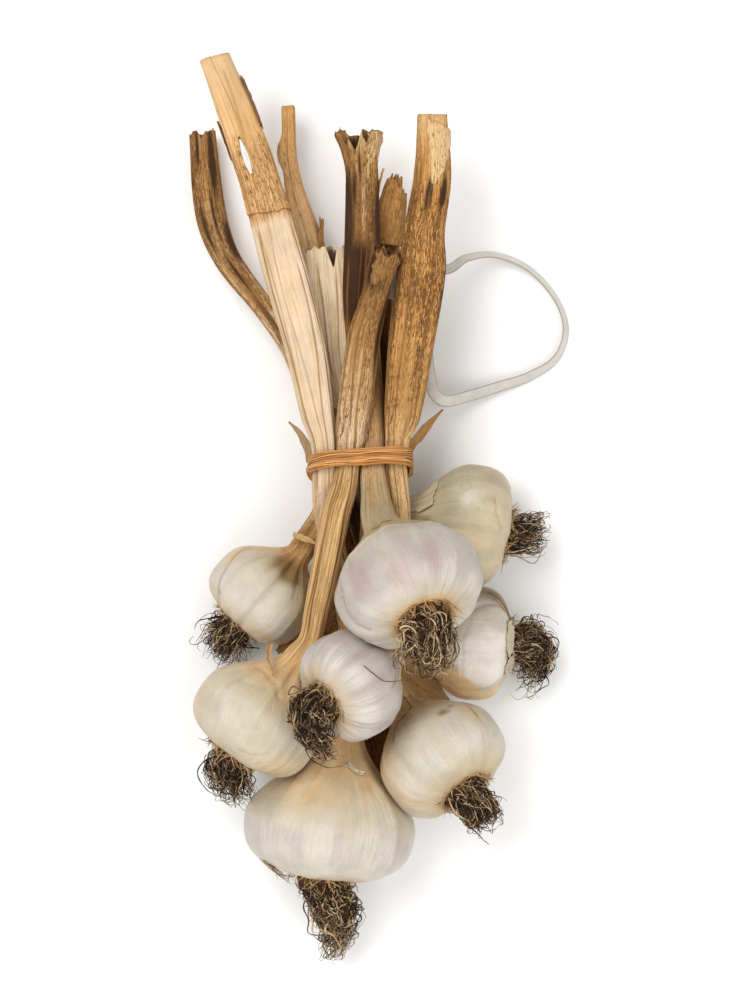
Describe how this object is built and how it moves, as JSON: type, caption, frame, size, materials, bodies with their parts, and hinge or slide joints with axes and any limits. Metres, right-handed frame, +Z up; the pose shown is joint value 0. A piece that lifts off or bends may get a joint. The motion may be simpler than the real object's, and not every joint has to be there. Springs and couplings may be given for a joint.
{
  "type": "dried garlic bunch",
  "caption": "Bunch of dried garlic heads with roots and long dry stalks, tied with raffia and hung by a narrow ribbon loop.",
  "frame": {"origin": "under the middle of the bunch's box, without the ribbon loop, on the surface it lies on", "axes": "+Z up, +Y along the bunch from the bulbs to the ends of the stalks, +X to the side of the ribbon loop"},
  "size_m": [0.1553, 0.3659, 0.1003],
  "materials": {
    "garlic_skin": "papery dry skin, cream to brown",
    "dried_roots": "matte dry fibre",
    "dried_leaf": "matte dry leaf",
    "raffia": "fibrous, slightly shiny",
    "ribbon": "satin"
  },
  "bodies": {
    "root": {"garlic_top_left": "garlic_skin", "garlic_middle": "garlic_skin", "garlic_top_right": "garlic_skin", "garlic_right": "garlic_skin", "garlic_lower_middle": "garlic_skin", "garlic_lower_left": "garlic_skin", "garlic_lower_right": "garlic_skin", "garlic_bottom": "garlic_skin", "roots_top_left": "dried_roots", "roots_middle": "dried_roots", "roots_top_right": "dried_roots", "roots_right": "dried_roots", "roots_lower_middle": "dried_roots", "roots_lower_left": "dried_roots", "roots_lower_right": "dried_roots", "roots_bottom": "dried_roots", "leaf_scrap_left": "dried_leaf", "leaf_scrap_right": "dried_leaf", "raffia_tie": "raffia", "hanging_ribbon": "ribbon"}
  },
  "joints": []
}
